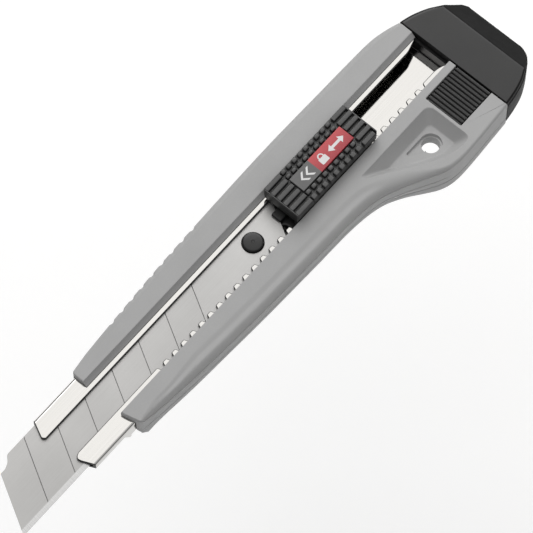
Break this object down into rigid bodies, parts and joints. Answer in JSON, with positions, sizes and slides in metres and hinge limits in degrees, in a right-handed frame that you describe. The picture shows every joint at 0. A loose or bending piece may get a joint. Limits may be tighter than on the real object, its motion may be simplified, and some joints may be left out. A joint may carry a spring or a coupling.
{
  "type": "utility knife",
  "caption": "Snap-off blade utility knife with a toothed steel rail, ribbed sliding lock button, flared grey handle with a hanging hole and a pull-off end cap.",
  "frame": {"origin": "on the flat back face, below the rail's centre line, 56.2 mm behind the handle's nose", "axes": "+X from the blade towards the end cap, +Y towards the blade's blunt spine, +Z out of the front face"},
  "size_m": [0.1901, 0.0415, 0.0171],
  "materials": {
    "grey_shell": "fine satin moulded grey",
    "black_plastic": "satin black",
    "rail_steel": "polished stainless steel",
    "blade_steel": "fine ground satin",
    "spring_steel": "drawn spring steel",
    "label": "printed plate, grey and red"
  },
  "bodies": {
    "handle": {"front_frame": "grey_shell", "back_cover": "grey_shell", "cover_screw_front": "spring_steel", "cover_screw_middle": "spring_steel", "cover_screw_rear": "spring_steel", "blade_rail": "rail_steel"},
    "slider": {"blade": "blade_steel", "blade_carriage": "black_plastic", "blade_peg": "black_plastic", "rattle_spring": "spring_steel", "lock_spring": "spring_steel", "slider_base": "black_plastic", "slider_rivet_front": "spring_steel", "slider_rivet_rear": "spring_steel", "button_spring": "spring_steel"},
    "thumb_button": {"thumb_slider": "black_plastic", "slider_label": "label"},
    "cap": {"end_cap": "black_plastic", "cap_plug": "black_plastic"},
    "latch": {"cap_latch": "black_plastic"}
  },
  "joints": [
    {"name": "slider_slide", "type": "slide", "parent": "handle", "child": "slider", "axis": [-1, 0, 0], "range_m": [-0.0245, 0.049], "deforming": ["lock_spring"]},
    {"name": "button_press", "type": "slide", "parent": "slider", "child": "thumb_button", "axis": [0, 0, -1], "range_m": [0, 0.0007], "stiffness_N_per_m": 600, "deforming": ["button_spring"]},
    {"name": "cap_pull", "type": "slide", "parent": "handle", "child": "cap", "axis": [1, 0, 0], "range_m": [0, 0.02]},
    {"name": "latch_press", "type": "hinge", "parent": "cap", "child": "latch", "pos_m": [0.0762, 0, 0.0115], "axis": [0, -1, 0], "range_deg": [0, 4], "stiffness_Nm_per_rad": 1.5}
  ]
}
